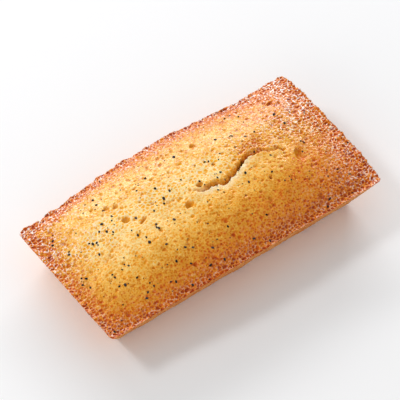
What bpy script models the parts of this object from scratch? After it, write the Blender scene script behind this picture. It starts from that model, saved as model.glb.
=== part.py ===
"""Financier: a small almond cake, baked in a tapered bar mould and turned out.

It is one solid. Its walls and base have the smooth shape of the mould. Its top is the free crust:
it meets the mould's wall in an uneven rim, has a narrow lip with a groove inside it, and swells to
a crown that has split along its ridge. Burst bubbles leave pits in it, and shreds of tea leaf stand
a little proud of it.

+X is along the cake, +Y across it, +Z up. The origin is on the table, under the cake's middle.
The features are placed from the mould's middle, which is a fraction of a millimetre away.
"""

import math

import bmesh
import bpy
import numpy as np
from mathutils import Matrix, Vector

MM = 0.001

# The mould, which gives the walls and the base.
LENGTH = 84.0 * MM  # between the rims at the middle of the two ends
WIDTH = 43.3 * MM  # between the rims at the middle of the two long sides
DRAFT = math.radians(27.0)  # the walls' lean, from vertical
CORNER_RADIUS = 1.2 * MM  # of the upright corners
BASE_RADIUS = 1.8 * MM  # of the bottom edge

# The rim, where the crust meets the mould's wall. The batter lay a little deeper to the right.
LEFT_CORNER_HEIGHT = 10.0 * MM
RIGHT_CORNER_HEIGHT = 11.5 * MM
NEAR_RISE = 1.2 * MM  # how much higher the near rim is along its middle than at its corners
FAR_RISE = 2.0 * MM  # the same for the far rim
LEFT_RISE = 0.5 * MM  # and for the rims at the two ends
RIGHT_RISE = 1.2 * MM
RIM_WAVE = 0.16 * MM  # unevenness of the rim
NEAR_LIP = 0.35 * MM  # how far the thin lip at the near rim stands up, and at the far rim
FAR_LIP = 0.05 * MM
LIP_WIDTH = 0.7 * MM
NEAR_GROOVE = 0.30 * MM  # how deep the groove inside the near lip is, and inside the far lip
FAR_GROOVE = 0.0 * MM
GROOVE_WIDTH = 1.3 * MM
GROOVE_PLACE = 2.0 * MM  # from the rim

# The crown.
CROWN_HEIGHT = 5.2 * MM  # above the rims
SIDE_SHOULDER = 17.0 * MM  # how far in from a long rim the crown reaches its height
END_SHOULDER = 27.0 * MM  # the same from an end
SOFT_START = 0.1  # how gently the crown leaves the rims, as a share of those distances
SWELL_WAVE = 0.18 * MM  # unevenness of the crown

# The split along the ridge, from left to right. Each row is a station along it: how far along and
# across the cake, how wide its sloping far bank is, and how deep it is, all in millimetres.
SPLIT = (
    (-1.6, 0.5, 0.6, 0.0),
    (0.2, -0.4, 1.0, 0.7),
    (1.6, -0.9, 1.3, 1.0),
    (3.2, -0.8, 1.5, 1.4),
    (5.4, -1.0, 1.6, 1.6),
    (6.1, -1.7, 1.6, 1.6),
    (7.3, -1.9, 1.6, 1.6),
    (8.6, -1.5, 1.5, 1.6),
    (9.3, -1.0, 1.4, 1.6),
    (10.1, -0.9, 1.4, 1.7),
    (12.3, -0.1, 1.2, 2.0),
    (13.1, 0.6, 1.0, 2.4),
    (14.2, 1.2, 0.8, 3.0),
    (14.9, 1.4, 0.8, 2.6),
    (16.2, 1.5, 1.1, 1.2),
    (18.1, 1.5, 1.3, 0.8),
    (20.9, 1.4, 1.4, 0.7),
    (22.2, 0.3, 1.3, 0.6),
    (24.6, 0.0, 1.1, 0.5),
    (26.7, -2.2, 0.6, 0.0),
)
SPLIT_NEAR_WALL = 0.5 * MM  # the near bank is steep, over this width
SPLIT_LIP_HEIGHT = 0.3 * MM  # the torn near edge stands proud
SPLIT_LIP_WIDTH = 1.2 * MM
SPLIT_JAG = 0.12 * MM  # raggedness of the torn edge

# Burst bubbles that show: along, across, length, width, turn in degrees and depth, in millimetres.
PITS = (
    (-4.3, -2.3, 2.9, 1.9, 15, 1.0),
    (1.4, 1.2, 2.0, 1.4, -10, 0.9),
    (-19.6, 3.7, 2.3, 1.9, 0, 0.8),
    (-16.2, 0.8, 2.8, 0.9, 20, 0.8),
    (28.2, -4.6, 4.2, 2.4, 75, 0.8),
    (-21.2, 9.9, 1.9, 1.4, 0, 0.6),
    (-19.3, 8.7, 1.9, 1.1, 10, 0.6),
    (-24.0, 12.4, 1.4, 1.1, 0, 0.5),
    (8.1, 4.5, 1.1, 0.9, 0, 0.5),
    (7.5, 12.8, 1.7, 1.2, 0, 0.6),
    (-12.5, -16.1, 1.4, 1.1, 0, 0.5),
    (25.9, -16.6, 1.4, 1.2, 30, 0.5),
    (32.8, 14.3, 2.2, 1.1, 0, 0.6),
)
PORES = 90  # smaller burst bubbles, scattered over the crust
PORE_SIZES = (0.9 * MM, 1.4 * MM)
PORE_DEPTH = 0.35 * MM

# Shreds of tea leaf baked into the crust. First the ones that show most: along, across and length,
# in millimetres.
MAIN_FLECKS = (
    (-30.0, -10.5, 1.3),
    (12.0, -5.0, 0.9),
    (-19.0, -5.5, 1.2),
    (-20.0, -2.0, 1.1),
    (-29.5, 4.0, 1.1),
    (1.5, 12.5, 1.2),
    (-8.5, 3.0, 1.1),
    (-12.5, 1.5, 0.8),
    (31.5, 6.0, 1.1),
    (-24.5, -15.0, 0.8),
    (-5.5, -18.5, 1.0),
    (-26.5, 5.5, 0.9),
    (7.5, -20.0, 0.9),
    (-15.0, -3.0, 0.8),
    (-6.0, 4.0, 0.9),
    (-39.0, -18.5, 0.9),
    (-30.0, 0.5, 0.9),
    (-24.0, 3.0, 0.8),
    (-27.0, -6.0, 0.8),
    (26.0, -19.5, 0.8),
)
FLECKS = 40  # others, scattered
FLECK_LENGTHS = (0.6 * MM, 1.0 * MM)
FLECK_WIDTH = 0.6  # as a share of its length
FLECK_THICKNESS = 0.5 * MM  # half of it is sunk in the crust
STEEP = 0.8  # no shred lies where the crust's normal has less than this of its length upward

GRID_STEP = 0.35 * MM  # spacing of the points that shape the crust
WALL_RINGS = 5  # rows of faces down a wall
BASE_EDGE_RINGS = 4  # rows of faces round the bottom edge
BODY_TRIANGLES = 8600  # what the shaped body is thinned to

LEAN = math.tan(DRAFT)
MEAN_CORNER = (LEFT_CORNER_HEIGHT + RIGHT_CORNER_HEIGHT) / 2
MEAN_SIDE_RIM = MEAN_CORNER + (NEAR_RISE + FAR_RISE) / 2
MEAN_END_RIM = MEAN_CORNER + (LEFT_RISE + RIGHT_RISE) / 2


def smooth_step(low, high, value):
    share = np.clip((value - low) / (high - low), 0, 1)
    return share * share * (3 - 2 * share)


def waves(x, y, length, seed):
    """Gentle unevenness between about -1 and 1: a few sine waves that run different ways."""
    draw = np.random.default_rng(seed)
    total = 0
    for _ in range(6):
        heading, phase = draw.uniform(0, 2 * math.pi, 2)
        number = 2 * math.pi / (length * draw.uniform(0.7, 1.5))
        total = total + np.sin(number * (x * math.cos(heading) + y * math.sin(heading)) + phase)
    return total / 3


def half_sizes(z):
    """Half the mould's length and half its width at height z."""
    half_length = LENGTH / 2 + (z - MEAN_END_RIM) * LEAN
    half_width = WIDTH / 2 + (z - MEAN_SIDE_RIM) * LEAN
    return half_length, half_width


def plan_point(p, q, z):
    """Where a point of the plan lies at height z. p and q run from -1 to 1 across the mould, and the
    square corners of that range are pressed into the mould's round ones."""
    half_length, half_width = half_sizes(z)
    x, y = np.abs(p) * half_length, np.abs(q) * half_width
    a = np.clip((x - half_length + CORNER_RADIUS) / CORNER_RADIUS, 0, 1)
    b = np.clip((y - half_width + CORNER_RADIUS) / CORNER_RADIUS, 0, 1)
    x = x - CORNER_RADIUS * a * (1 - np.sqrt(1 - b * b / 2))
    y = y - CORNER_RADIUS * b * (1 - np.sqrt(1 - a * a / 2))
    return np.sign(p) * x, np.sign(q) * y


def between(low, high, share):
    """The value part of the way from low, where share is -1, to high, where it is 1."""
    return low + (high - low) * (1 + share) / 2


def rim_height(p, q):
    """Height of the rim: low in the corners, and higher along the middle of each side."""
    corner = between(LEFT_CORNER_HEIGHT, RIGHT_CORNER_HEIGHT, p)
    side = between(NEAR_RISE, FAR_RISE, q) * (1 - smooth_step(0.1, 0.8, np.abs(p + 0.08)))
    end = between(LEFT_RISE, RIGHT_RISE, p) * (1 - np.abs(q) ** 3) * np.abs(p) ** 4
    x, y = p * LENGTH / 2, q * WIDTH / 2
    ripple = waves(x, y, 7 * MM, 1) + 0.8 * waves(x, y, 2.6 * MM, 2)
    edge = np.exp(-((rim_distance(p, q) / (1.5 * MM)) ** 2))
    return corner + side + end + RIM_WAVE * ripple * edge


def rim_distance(p, q):
    """How far in from the rim a point is, rounded off where two sides are equally near."""
    blend = 1.0 * MM
    end = np.exp(-LENGTH / 2 * (1 - np.abs(p)) / blend)
    side = np.exp(-WIDTH / 2 * (1 - np.abs(q)) / blend)
    return -blend * np.log(end + side - end * side)


def swell(share):
    """The crown's profile in from a rim: 0 there, and 1 from a share of 1 on."""
    share = np.clip(share, 0, 1)
    soft = share * share * (1 + SOFT_START) / (share + SOFT_START)
    return 1 - (1 - soft) ** 2.2


def crown(p, q):
    """The swelling of the middle: nothing at the rim, and 1 over the ridge."""
    from_end = LENGTH / 2 * (1 - np.abs(p)) / END_SHOULDER
    from_side = WIDTH / 2 * (1 - np.abs(q)) / SIDE_SHOULDER
    return swell(from_end) * swell(from_side)


def split_relief(x, y):
    """What the split takes from the crust: its far bank slopes, and its near bank is a steep wall
    under a raised, ragged edge."""
    along, across, bank, depth = (MM * np.array(column) for column in zip(*SPLIT))
    ragged = waves(x, 0, 2.2 * MM, 5) + 0.5 * waves(x, 0, 0.9 * MM, 6)
    beyond = y - np.interp(x, along, across) - SPLIT_JAG * ragged
    deep = np.interp(x, along, depth)
    far = np.clip(1 - beyond / np.interp(x, along, bank), 0, 1) ** 2
    near = np.clip(1 + beyond / SPLIT_NEAR_WALL, 0, 1)
    lip = np.exp(-(((beyond + SPLIT_NEAR_WALL) / SPLIT_LIP_WIDTH) ** 2)) * (beyond < 0)
    lifted = np.clip(deep / MM, 0, 1)
    return lip * SPLIT_LIP_HEIGHT * lifted * (1 - near) - deep * np.where(beyond > 0, far, near)


def hollow(x, y, place, length, width, turn, depth):
    """A burst bubble: an oval bowl in the crust."""
    along, across = x - place[0], y - place[1]
    u = (along * math.cos(turn) + across * math.sin(turn)) / (length / 2)
    v = (across * math.cos(turn) - along * math.sin(turn)) / (width / 2)
    return depth * np.sqrt(np.clip(1 - u * u - v * v, 0, 1))


def pore_rows():
    """The scattered small bubbles, in the form that hollow() takes."""
    draw = np.random.default_rng(11)
    for _ in range(PORES):
        place = draw.uniform(-0.47, 0.47, 2) * (LENGTH, WIDTH)
        size = draw.uniform(*PORE_SIZES)
        yield place, size, size * 0.8, draw.uniform(0, math.pi), PORE_DEPTH


def crust_height(p, q):
    """Height of the crust over the point p, q of the plan, and the point's x and y."""
    rim = rim_height(p, q)
    x, y = plan_point(p, q, rim)
    inside = rim_distance(p, q)
    lip = between(NEAR_LIP, FAR_LIP, q) * (np.exp(-((inside / LIP_WIDTH) ** 2)) - 1)
    dip = np.exp(-(((inside - GROOVE_PLACE) / GROOVE_WIDTH) ** 2))
    groove = between(NEAR_GROOVE, FAR_GROOVE, q) * dip
    free = smooth_step(0, 4 * MM, inside)
    uneven = SWELL_WAVE * free * (waves(x, y, 14 * MM, 3) + 0.6 * waves(x, y, 4 * MM, 4))
    z = rim + lip - groove + CROWN_HEIGHT * crown(p, q) + uneven
    z = z + split_relief(x, y)
    for along, across, length, width, turn, depth in PITS:
        place = (along * MM, across * MM)
        z = z - hollow(x, y, place, length * MM, width * MM, math.radians(turn), depth * MM)
    for place, length, width, turn, depth in pore_rows():
        z = z - hollow(x, y, place, length, width, turn, depth) * free
    return x, y, z


def wall_heights():
    """Heights of the rings of points down a wall, as shares of the rim's height above the bottom
    edge, then as angles round that edge."""
    for ring in range(1, WALL_RINGS + 1):
        yield 1 - ring / WALL_RINGS, 0.0
    for ring in range(1, BASE_EDGE_RINGS + 1):
        yield 0.0, (math.pi / 2 - DRAFT) * ring / BASE_EDGE_RINGS


def wall_point(p, q, share, angle):
    """A point of the wall below the rim's point p, q."""
    edge_top = BASE_RADIUS * (1 - math.sin(DRAFT))
    if share > 0:
        z = edge_top + share * (rim_height(p, q) - edge_top)
        return (*plan_point(p, q, z), z)
    z = BASE_RADIUS * (1 - math.sin(DRAFT + angle))
    inset = BASE_RADIUS * (math.cos(DRAFT) - math.cos(DRAFT + angle)) - (edge_top - z) * LEAN
    x, y = plan_point(p, q, z)
    half_length, half_width = half_sizes(z)
    return x * (1 - inset / half_length), y * (1 - inset / half_width), z


def baked_body():
    """The cake as one closed mesh: a fine grid shaped into the crust, its edge drawn down the
    mould's wall ring by ring, and the base closed with one face."""
    shape = bmesh.new()
    bmesh.ops.create_grid(
        shape,
        x_segments=round(LENGTH / GRID_STEP),
        y_segments=round(WIDTH / GRID_STEP),
        size=1,
    )
    across = shape.verts.layers.float.new("p")
    along = shape.verts.layers.float.new("q")
    plan = np.array([vert.co[:2] for vert in shape.verts])
    crust = np.array(crust_height(plan[:, 0], plan[:, 1])).T
    for vert, place, (p, q) in zip(shape.verts, crust, plan):
        vert[across], vert[along] = p, q
        vert.co = place
    ring = [edge for edge in shape.edges if edge.is_boundary]
    for share, angle in wall_heights():
        made = bmesh.ops.extrude_edge_only(shape, edges=ring)["geom"]
        ring = [item for item in made if isinstance(item, bmesh.types.BMEdge)]
        for vert in (item for item in made if isinstance(item, bmesh.types.BMVert)):
            vert.co = wall_point(vert[across], vert[along], share, angle)
    bmesh.ops.contextual_create(shape, geom=ring)
    bmesh.ops.recalc_face_normals(shape, faces=shape.faces)
    mesh = bpy.data.meshes.new("financier")
    shape.to_mesh(mesh)
    shape.free()
    return mesh


def with_modifiers_applied(part):
    """The object's mesh as its modifiers leave it. The modifiers are then removed."""
    graph = bpy.context.evaluated_depsgraph_get()
    mesh = bpy.data.meshes.new_from_object(part.evaluated_get(graph))
    part.modifiers.clear()
    part.data = mesh


def thin(part, triangles):
    """Keeps the faces where the form needs them, on the split, pits and rim."""
    part.data.calc_loop_triangles()
    modifier = part.modifiers.new("Thin", "DECIMATE")
    modifier.ratio = triangles / len(part.data.loop_triangles)
    with_modifiers_applied(part)
    for vert in part.data.vertices:
        if vert.co.z < 0.02 * MM:
            vert.co.z = 0


def crust_frame(p, q):
    """A place on the crust, and the turn that lays a flat thing on it."""
    step = 0.004
    around = np.array([(p, q), (p + step, q), (p, q + step)])
    here, ahead, aside = (Vector(point) for point in np.array(crust_height(*around.T)).T)
    normal = (ahead - here).cross(aside - here).normalized()
    return here, normal.to_track_quat("Z", "Y").to_matrix().to_4x4()


def fleck_rows():
    """Each shred's place on the plan and its length: the main ones, then the scattered ones."""
    draw = np.random.default_rng(7)
    for along, across, length in MAIN_FLECKS:
        yield along * MM / (LENGTH / 2), across * MM / (WIDTH / 2), length * MM
    for _ in range(FLECKS):
        yield draw.uniform(-0.95, 0.95), draw.uniform(-0.93, 0.93), draw.uniform(*FLECK_LENGTHS)


def add_flecks(collection):
    """Shreds of tea leaf, lying flat in the crust. They are small faceted chips."""
    turns = np.random.default_rng(8)
    for number, (p, q, length) in enumerate(fleck_rows()):
        place, lie = crust_frame(p, q)
        turn = turns.uniform(0, math.pi)
        if lie[2][2] < STEEP:
            continue
        size = Matrix.Diagonal((length / 2, length * FLECK_WIDTH / 2, FLECK_THICKNESS / 2, 1))
        spot = Matrix.Translation(place) @ lie @ Matrix.Rotation(turn, 4, "Z") @ size
        chip = bmesh.new()
        bmesh.ops.create_icosphere(chip, subdivisions=1, radius=1, matrix=spot)
        mesh = bpy.data.meshes.new(f"fleck_{number}")
        chip.to_mesh(mesh)
        chip.free()
        collection.objects.link(bpy.data.objects.new(mesh.name, mesh))


def fuse(part, collection):
    """Joins the collection's objects to the part, and removes them. The chips and the body are all
    closed, which the quick manifold solver needs."""
    union = part.modifiers.new("Flecks", "BOOLEAN")
    union.operation = "UNION"
    union.operand_type = "COLLECTION"
    union.collection = collection
    union.solver = "MANIFOLD"
    bpy.context.view_layer.update()
    with_modifiers_applied(part)
    for piece in list(collection.objects):
        bpy.data.objects.remove(piece)
    bpy.data.collections.remove(collection)


def centre(part):
    """Puts the origin under the middle of the part's bounding box."""
    points = np.array([vert.co for vert in part.data.vertices])
    middle = (points.min(axis=0) + points.max(axis=0)) / 2
    part.data.transform(Matrix.Translation((-middle[0], -middle[1], 0)))


def baked_crust_material():
    """Golden almond crumb with a browned, slightly buttery crust."""
    material = bpy.data.materials.new("baked_crust")
    material.use_nodes = True
    surface = material.node_tree.nodes["Principled BSDF"]
    surface.inputs["Base Color"].default_value = (0.72, 0.36, 0.10, 1.0)
    surface.inputs["Roughness"].default_value = 0.55
    surface.inputs["Metallic"].default_value = 0.0
    return material


def new_collection(name):
    collection = bpy.data.collections.new(name)
    bpy.context.scene.collection.children.link(collection)
    return collection


def main():
    for old in list(bpy.data.objects):
        bpy.data.objects.remove(old)
    cake = bpy.data.objects.new("financier", baked_body())
    new_collection("financier_cake").objects.link(cake)
    thin(cake, BODY_TRIANGLES)
    flecks = new_collection("tea_flecks")
    add_flecks(flecks)
    fuse(cake, flecks)
    centre(cake)
    cake.data.materials.clear()
    cake.data.materials.append(baked_crust_material())
    cake.data.shade_smooth()
    cake.data.set_sharp_from_angle(angle=math.radians(50))


main()
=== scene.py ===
# %% [markdown]
# # A financier
#
# A financier is a small almond cake, baked in a bar-shaped mould with sloping sides and turned out.
# The walls and base copy the mould. The top is free crust: it swells, browns towards the rim, splits
# along its ridge, and is full of burst bubbles. This one has shreds of tea leaf baked into it.
#
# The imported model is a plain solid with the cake's main form. It is loaded first, as a fixed frame,
# and everything below is fitted to it.

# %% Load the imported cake
import math

import bmesh
import bpy
import numpy as np
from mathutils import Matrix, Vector


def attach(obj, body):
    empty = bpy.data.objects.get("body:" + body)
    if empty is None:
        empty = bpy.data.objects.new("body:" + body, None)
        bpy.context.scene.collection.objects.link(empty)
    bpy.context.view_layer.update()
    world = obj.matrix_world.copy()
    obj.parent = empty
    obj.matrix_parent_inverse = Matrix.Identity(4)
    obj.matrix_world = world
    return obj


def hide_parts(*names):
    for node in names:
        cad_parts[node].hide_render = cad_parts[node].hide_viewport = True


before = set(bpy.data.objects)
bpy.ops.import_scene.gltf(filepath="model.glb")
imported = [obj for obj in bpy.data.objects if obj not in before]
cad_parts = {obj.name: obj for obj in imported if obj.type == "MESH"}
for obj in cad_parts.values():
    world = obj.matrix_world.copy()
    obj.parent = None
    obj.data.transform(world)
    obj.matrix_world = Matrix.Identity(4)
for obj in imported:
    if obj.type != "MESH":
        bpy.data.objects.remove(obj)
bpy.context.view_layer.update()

MM = 0.001

# %% [markdown]
# ## The mould's shape
#
# The cake could be sculpted freely, but its walls are a copy of a simple thing, so a few sizes give
# them exactly: the mould's length and width at the rim, how far its walls lean, and its radii. Every
# point of the cake is found from its place in a square, p along and q across, both from -1 to 1.

# %% The mould's sizes
LENGTH = 84.0 * MM
WIDTH = 43.3 * MM
DRAFT = math.radians(27.0)
CORNER_RADIUS = 1.2 * MM
BASE_RADIUS = 1.8 * MM
LEFT_CORNER_HEIGHT = 10.0 * MM
RIGHT_CORNER_HEIGHT = 11.5 * MM
NEAR_RISE = 1.2 * MM
FAR_RISE = 2.0 * MM
LEFT_RISE = 0.5 * MM
RIGHT_RISE = 1.2 * MM
MOULD_MIDDLE = (-0.52 * MM, -0.19 * MM)  # the solid is centred on its own bounding box

LEAN = math.tan(DRAFT)
MEAN_CORNER = (LEFT_CORNER_HEIGHT + RIGHT_CORNER_HEIGHT) / 2
MEAN_SIDE_RIM = MEAN_CORNER + (NEAR_RISE + FAR_RISE) / 2
MEAN_END_RIM = MEAN_CORNER + (LEFT_RISE + RIGHT_RISE) / 2
WAVES_EACH = 6


def smooth_step(low, high, value):
    """0 below low, 1 above high, and a soft curve between them."""
    share = np.clip((value - low) / (high - low), 0, 1)
    return share * share * (3 - 2 * share)


def between(low, high, share):
    """The value part of the way from low, where share is -1, to high, where it is 1."""
    return low + (high - low) * (1 + share) / 2


def waves(x, y, length, seed):
    """Gentle unevenness between about -1 and 1: a few sine waves that run different ways."""
    draw = np.random.default_rng(seed)
    height = 0
    for _ in range(WAVES_EACH):
        heading, phase = draw.uniform(0, 2 * math.pi, 2)
        number = 2 * math.pi / (length * draw.uniform(0.7, 1.5))
        height = height + np.sin(number * (x * math.cos(heading) + y * math.sin(heading)) + phase)
    return height / (WAVES_EACH / 2)


def half_sizes(z):
    """Half the mould's length and half its width at height z."""
    half_length = LENGTH / 2 + (z - MEAN_END_RIM) * LEAN
    half_width = WIDTH / 2 + (z - MEAN_SIDE_RIM) * LEAN
    return half_length, half_width


def plan_point(p, q, z):
    """Where a point of the square lies at height z, with the mould's round corners."""
    half_length, half_width = half_sizes(z)
    x, y = np.abs(p) * half_length, np.abs(q) * half_width
    a = np.clip((x - half_length + CORNER_RADIUS) / CORNER_RADIUS, 0, 1)
    b = np.clip((y - half_width + CORNER_RADIUS) / CORNER_RADIUS, 0, 1)
    x = x - CORNER_RADIUS * a * (1 - np.sqrt(1 - b * b / 2))
    y = y - CORNER_RADIUS * b * (1 - np.sqrt(1 - a * a / 2))
    return np.sign(p) * x, np.sign(q) * y


# %% [markdown]
# ## The rim and the crown
#
# Where the crust meets the mould, the batter climbs the wall and sets as a thin, uneven lip, with a
# shallow groove inside it. It climbs least in the corners, where the metal is hottest. From the
# groove the crust swells to a crown. Each of these is a short function of the distance to the rim.

# %% The crust's height
RIM_BLEND = 1.0 * MM
RIM_EDGE = 1.5 * MM
RIM_WAVE = 0.16 * MM
NEAR_LIP = 0.35 * MM
FAR_LIP = 0.05 * MM
LIP_WIDTH = 0.7 * MM
NEAR_GROOVE = 0.30 * MM
FAR_GROOVE = 0.0 * MM
GROOVE_WIDTH = 1.3 * MM
GROOVE_PLACE = 2.0 * MM
CROWN_HEIGHT = 5.2 * MM
SIDE_SHOULDER = 17.0 * MM
END_SHOULDER = 27.0 * MM
SOFT_START = 0.1
SHOULDER_BEND = 2.2
SWELL_WAVE = 0.18 * MM
FREE_CRUST = 4.0 * MM


def rim_distance(p, q):
    """How far in from the rim a point is, rounded off where two sides are equally near."""
    end = np.exp(-LENGTH / 2 * (1 - np.abs(p)) / RIM_BLEND)
    side = np.exp(-WIDTH / 2 * (1 - np.abs(q)) / RIM_BLEND)
    return -RIM_BLEND * np.log(end + side - end * side)


def rim_height(p, q):
    """Height of the rim: low in the corners, and higher along the middle of each side."""
    corner = between(LEFT_CORNER_HEIGHT, RIGHT_CORNER_HEIGHT, p)
    side = between(NEAR_RISE, FAR_RISE, q) * (1 - smooth_step(0.1, 0.8, np.abs(p + 0.08)))
    end = between(LEFT_RISE, RIGHT_RISE, p) * (1 - np.abs(q) ** 3) * np.abs(p) ** 4
    x, y = p * LENGTH / 2, q * WIDTH / 2
    ripple = waves(x, y, 7 * MM, 1) + 0.8 * waves(x, y, 2.6 * MM, 2)
    edge = np.exp(-((rim_distance(p, q) / RIM_EDGE) ** 2))
    return corner + side + end + RIM_WAVE * ripple * edge


def swell(share):
    """The crown's profile in from a rim: 0 there, and 1 from a share of 1 on."""
    share = np.clip(share, 0, 1)
    soft = share * share * (1 + SOFT_START) / (share + SOFT_START)
    return 1 - (1 - soft) ** SHOULDER_BEND


def crown(p, q):
    """The swelling of the middle: nothing at the rim, and 1 over the ridge."""
    from_end = LENGTH / 2 * (1 - np.abs(p)) / END_SHOULDER
    from_side = WIDTH / 2 * (1 - np.abs(q)) / SIDE_SHOULDER
    return swell(from_end) * swell(from_side)


# %% [markdown]
# ## The split and the larger burst bubbles
#
# The crown sets before the middle stops rising, so it tears along the ridge. The near half rode
# up: it ends in a steep, ragged wall with a raised lip, and the far half slopes down to its
# foot. The tear follows a few stations along its length. The larger bubbles are oval bowls, each
# put where it shows, and smaller ones are scattered by a seeded draw.

# %% Sizes of the split
# Each station, in millimetres: along the cake, across it to the tear's foot, the far bank's width
# and the depth.
SPLIT = (
    (-1.6, 0.5, 0.6, 0.0),
    (0.2, -0.4, 1.0, 0.7),
    (1.6, -0.9, 1.3, 1.0),
    (3.2, -0.8, 1.5, 1.4),
    (5.4, -1.0, 1.6, 1.6),
    (6.1, -1.7, 1.6, 1.6),
    (7.3, -1.9, 1.6, 1.6),
    (8.6, -1.5, 1.5, 1.6),
    (9.3, -1.0, 1.4, 1.6),
    (10.1, -0.9, 1.4, 1.7),
    (12.3, -0.1, 1.2, 2.0),
    (13.1, 0.6, 1.0, 2.4),
    (14.2, 1.2, 0.8, 3.0),
    (14.9, 1.4, 0.8, 2.6),
    (16.2, 1.5, 1.1, 1.2),
    (18.1, 1.5, 1.3, 0.8),
    (20.9, 1.4, 1.4, 0.7),
    (22.2, 0.3, 1.3, 0.6),
    (24.6, 0.0, 1.1, 0.5),
    (26.7, -2.2, 0.6, 0.0),
)
SPLIT_NEAR_WALL = 0.5 * MM
SPLIT_LIP_HEIGHT = 0.3 * MM
SPLIT_LIP_WIDTH = 1.2 * MM
SPLIT_JAG = 0.17 * MM
JAG_LENGTHS = (2.2 * MM, 0.9 * MM)

# %% Sizes of the bubbles
# Each bowl: along, across, length, width, turn and depth, in millimetres and degrees.
PITS = (
    (-4.3, -2.3, 2.9, 1.9, 15, 1.0),
    (1.4, 1.2, 2.0, 1.4, -10, 0.9),
    (-19.6, 3.7, 2.3, 1.9, 0, 0.8),
    (-16.2, 0.8, 2.8, 0.9, 20, 0.8),
    (28.2, -4.6, 4.2, 2.4, 75, 0.8),
    (-21.2, 9.9, 1.9, 1.4, 0, 0.6),
    (-19.3, 8.7, 1.9, 1.1, 10, 0.6),
    (-24.0, 12.4, 1.4, 1.1, 0, 0.5),
    (8.1, 4.5, 1.1, 0.9, 0, 0.5),
    (7.5, 12.8, 1.7, 1.2, 0, 0.6),
    (-12.5, -16.1, 1.4, 1.1, 0, 0.5),
    (25.9, -16.6, 1.4, 1.2, 30, 0.5),
    (32.8, 14.3, 2.2, 1.1, 0, 0.6),
)
PORES = 90
PORE_SIZES = (0.9 * MM, 1.4 * MM)
PORE_DEPTH = 0.35 * MM
BOWL_WOBBLE = 0.12 * MM
WOBBLE_LENGTH = 1.8 * MM

# %% Split, bubbles and crust


def split_place(x, y):
    """How far beyond the tear's foot a point is, the tear's depth there and its bank's width."""
    along, across, bank, depth = (MM * np.array(column) for column in zip(*SPLIT))
    ragged = waves(x, 0, JAG_LENGTHS[0], 5) + 0.8 * waves(x, y, JAG_LENGTHS[1], 6)
    beyond = y - np.interp(x, along, across) - SPLIT_JAG * ragged
    return beyond, np.interp(x, along, depth), np.interp(x, along, bank)


def split_relief(x, y):
    """What the split takes from the crust, and what its lip adds."""
    beyond, deep, bank = split_place(x, y)
    far = np.clip(1 - beyond / bank, 0, 1) ** 2
    near = np.clip(1 + beyond / SPLIT_NEAR_WALL, 0, 1)
    lip = np.exp(-(((beyond + SPLIT_NEAR_WALL) / SPLIT_LIP_WIDTH) ** 2)) * (beyond < 0)
    lifted = np.clip(deep / MM, 0, 1)
    return lip * SPLIT_LIP_HEIGHT * lifted * (1 - near) - deep * np.where(beyond > 0, far, near)


def hollow(x, y, place, length, width, turn, depth):
    """A burst bubble: an oval bowl in the crust."""
    along = x - place[0] + BOWL_WOBBLE * waves(x, y, WOBBLE_LENGTH, 9)
    across = y - place[1] + BOWL_WOBBLE * waves(x, y, WOBBLE_LENGTH, 10)
    u = (along * math.cos(turn) + across * math.sin(turn)) / (length / 2)
    v = (across * math.cos(turn) - along * math.sin(turn)) / (width / 2)
    return depth * np.clip(1 - u * u - v * v, 0, 1) ** 0.7


def pore_rows():
    """The scattered small bubbles, in the form that hollow() takes."""
    draw = np.random.default_rng(11)
    for _ in range(PORES):
        place = draw.uniform(-0.47, 0.47, 2) * (LENGTH, WIDTH)
        size = draw.uniform(*PORE_SIZES)
        yield place, size, size * 0.8, draw.uniform(0, math.pi), PORE_DEPTH


def bowls(x, y, free):
    """The depth that all the bubbles together take from the crust."""
    depth_here = 0
    for along, across, length, width, turn, depth in PITS:
        place = (along * MM, across * MM)
        turn = math.radians(turn)
        bowl = hollow(x, y, place, length * MM, width * MM, turn, depth * MM)
        depth_here = depth_here + bowl
    for place, length, width, turn, depth in pore_rows():
        depth_here = depth_here + hollow(x, y, place, length, width, turn, depth) * free
    return depth_here


def crust_height(p, q):
    """Height of the crust over the point p, q of the square, and the point's x and y."""
    rim = rim_height(p, q)
    x, y = plan_point(p, q, rim)
    inside = rim_distance(p, q)
    lip = between(NEAR_LIP, FAR_LIP, q) * (np.exp(-((inside / LIP_WIDTH) ** 2)) - 1)
    dip = np.exp(-(((inside - GROOVE_PLACE) / GROOVE_WIDTH) ** 2))
    groove = between(NEAR_GROOVE, FAR_GROOVE, q) * dip
    free = smooth_step(0, FREE_CRUST, inside)
    uneven = SWELL_WAVE * free * (waves(x, y, 14 * MM, 3) + 0.6 * waves(x, y, 4 * MM, 4))
    z = rim + lip - groove + CROWN_HEIGHT * crown(p, q) + uneven
    return x, y, z + split_relief(x, y) - bowls(x, y, free)


top = crust_height(np.array([0.1]), np.array([-0.2]))[2][0]
print("crown, mm:", round(float(top / MM), 2))

# %% [markdown]
# ## How the crust browns
#
# Crust browns where it is thin and close to hot metal: first the rim, then the ends, and least the
# tall middle. The material could guess this from the distance to the middle, but the four sides
# differ here, so each point of the mesh carries the figure as an attribute, from 0, pale, to 1,
# red-brown; at the foot of the split it also holds painted shade. Others mark the torn crumb, the
# painted shade of the split's deep hole, the floors of the burst bubbles, how coarse the foam is,
# and the open crust, on which tea can lie.

# %% What the crust's points carry
NEAR_BAND = 7.0 * MM
FAR_BAND = 3.2 * MM
LEFT_BAND = 6.2 * MM
RIGHT_BAND = 14.0 * MM
# painted shade: how much browner the crust is drawn at the split's foot
SPLIT_FOOT_SHADE = 0.35
FOOT_WIDTH = 1.3
FULL_DEPTH = 1.2 * MM
NEAR_SMOOTHING = 0.72
FAR_SMOOTHING = 0.8


def band(distance, width):
    """1 at a rim, and fading inwards over about this width."""
    return np.exp(-((distance / width) ** 1.5))


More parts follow.
